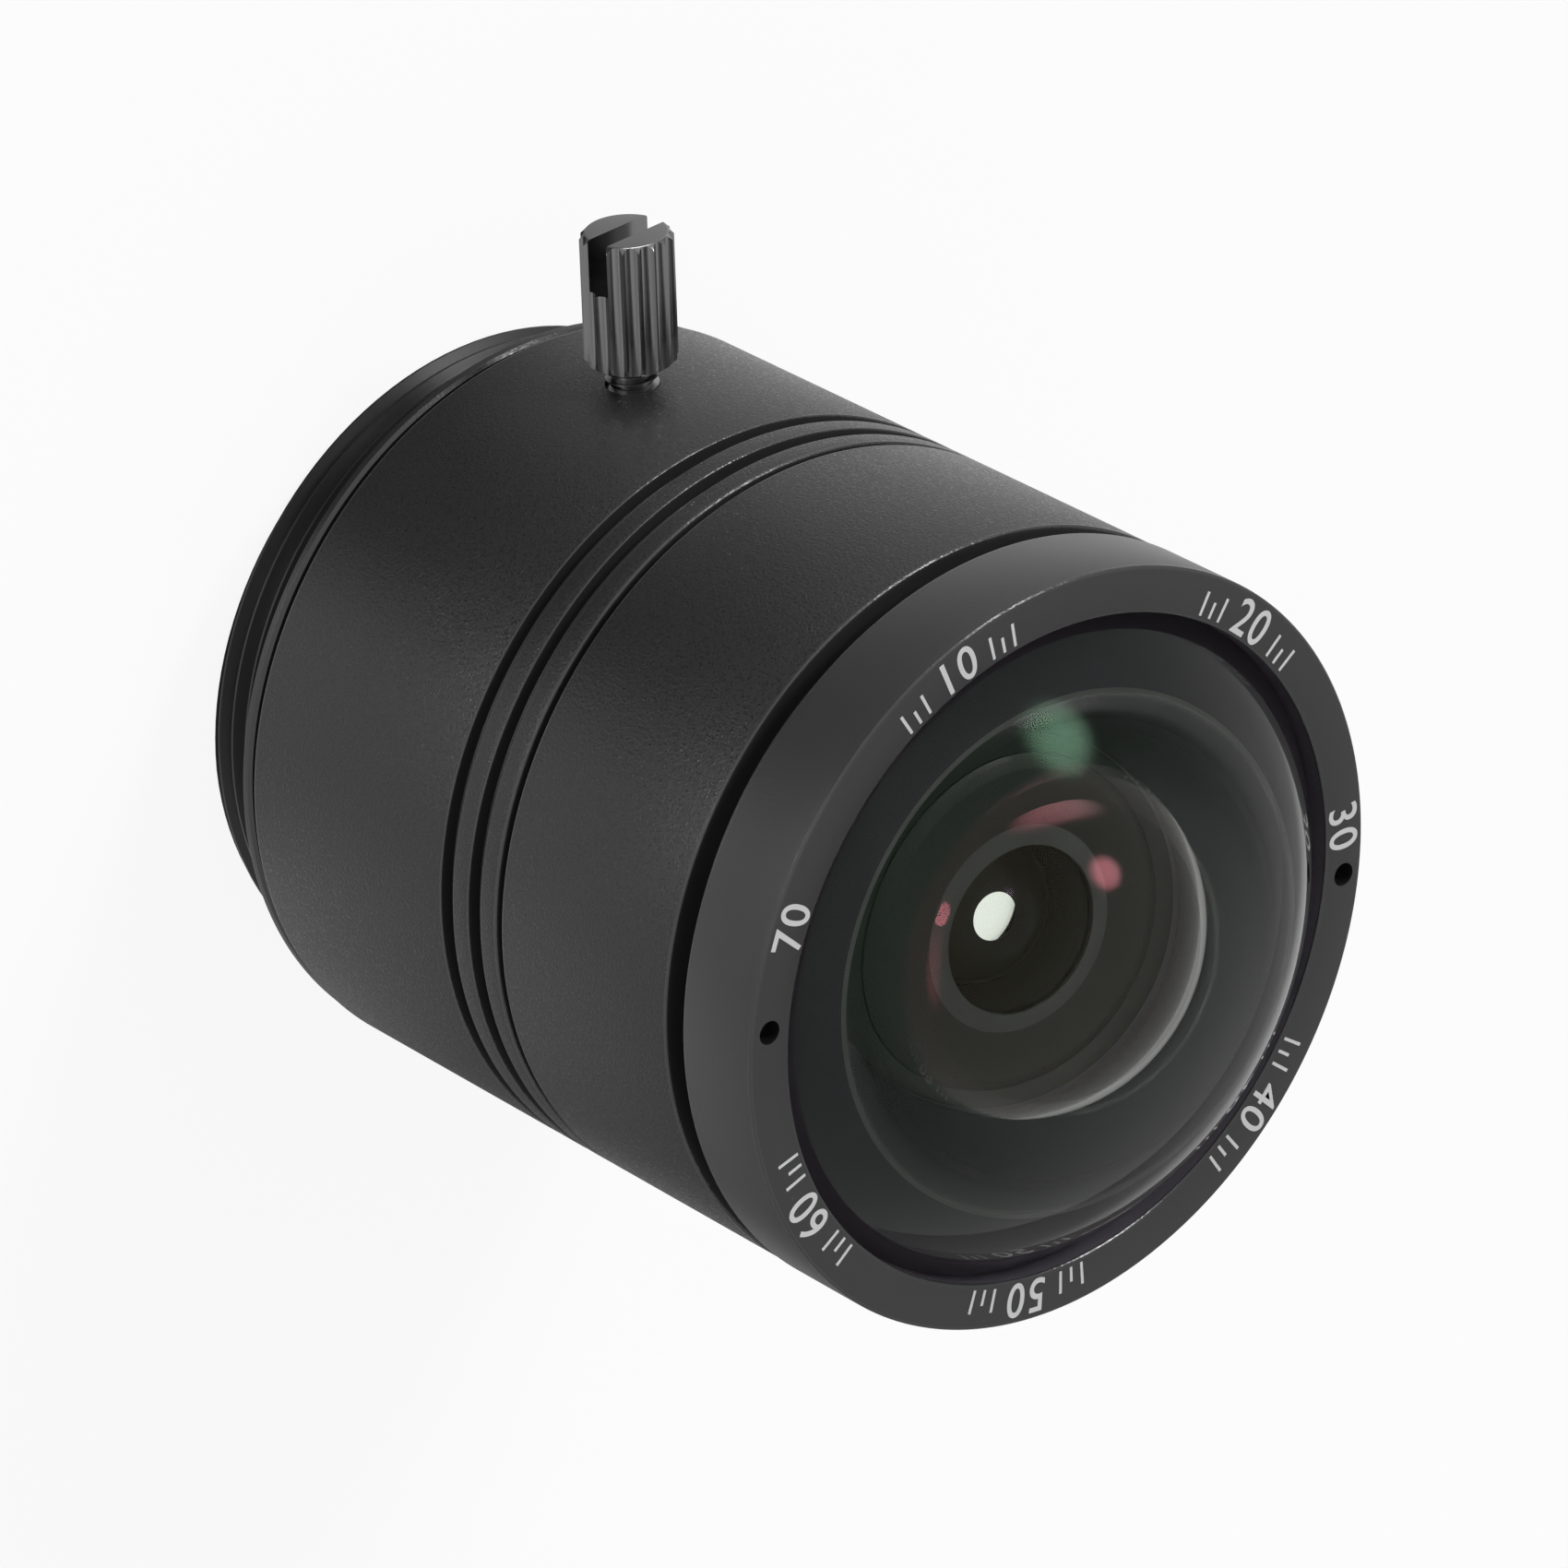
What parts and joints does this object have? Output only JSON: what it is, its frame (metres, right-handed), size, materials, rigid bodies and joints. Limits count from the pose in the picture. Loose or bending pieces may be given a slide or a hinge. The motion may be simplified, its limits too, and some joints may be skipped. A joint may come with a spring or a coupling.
{
  "type": "wide-angle lens",
  "caption": "Fixed wide-angle camera lens with a bulging front glass, grooved black barrel, rear camera thread and a fluted thumb screw that locks the focus.",
  "frame": {"origin": "on the optical axis, in the flange plane that seats on the camera", "axes": "+Z along the optical axis towards the front glass, +X through the thumb screw"},
  "size_m": [0.0343, 0.0284, 0.0381],
  "materials": {
    "black_anodised": "bead-blasted black anodised",
    "inner_black": "matte black anodised",
    "optical_glass": "polished, multi-coated",
    "black_nickel": "polished black nickel",
    "nylon": "plain"
  },
  "bodies": {
    "mount": {"mount_ring": "black_anodised", "mount_housing": "black_anodised"},
    "optics": {"lens_cell": "inner_black", "cell_front_ring": "inner_black", "element_2": "optical_glass", "spacer_1": "inner_black", "element_3": "optical_glass", "element_4": "optical_glass", "aperture_stop": "inner_black", "spacer_2": "inner_black", "element_5": "optical_glass", "spacer_3": "inner_black", "element_6": "optical_glass", "element_7": "optical_glass", "rear_retaining_ring": "inner_black"},
    "focus_ring": {"focus_sleeve": "inner_black", "front_barrel": "black_anodised", "front_ring": "black_anodised", "front_element": "optical_glass"},
    "lock_pad": {"lock_pad": "nylon"},
    "lock_screw": {"lock_screw": "black_nickel"}
  },
  "joints": [
    {"name": "focus_travel", "type": "slide", "parent": "mount", "child": "optics", "axis": [0, 0, 1], "range_m": [-0.000166, 0.000666]},
    {"name": "focus_turn", "type": "hinge", "parent": "optics", "child": "focus_ring", "pos_m": [0, 0, 0.0195], "axis": [0, 0, 1], "range_deg": [-120, 480]},
    {"name": "lock_travel", "type": "slide", "parent": "mount", "child": "lock_pad", "axis": [1, 0, 0], "range_m": [0, 0.0008]},
    {"name": "lock_turn", "type": "hinge", "parent": "lock_pad", "child": "lock_screw", "pos_m": [0.0145, 0, 0.0058], "axis": [1, 0, 0], "range_deg": [0, 721]}
  ],
  "couplings": [
    {"joint": "focus_turn", "follows": "focus_travel", "rad_per_m": 12566},
    {"joint": "lock_turn", "follows": "lock_travel", "rad_per_m": 15708}
  ]
}
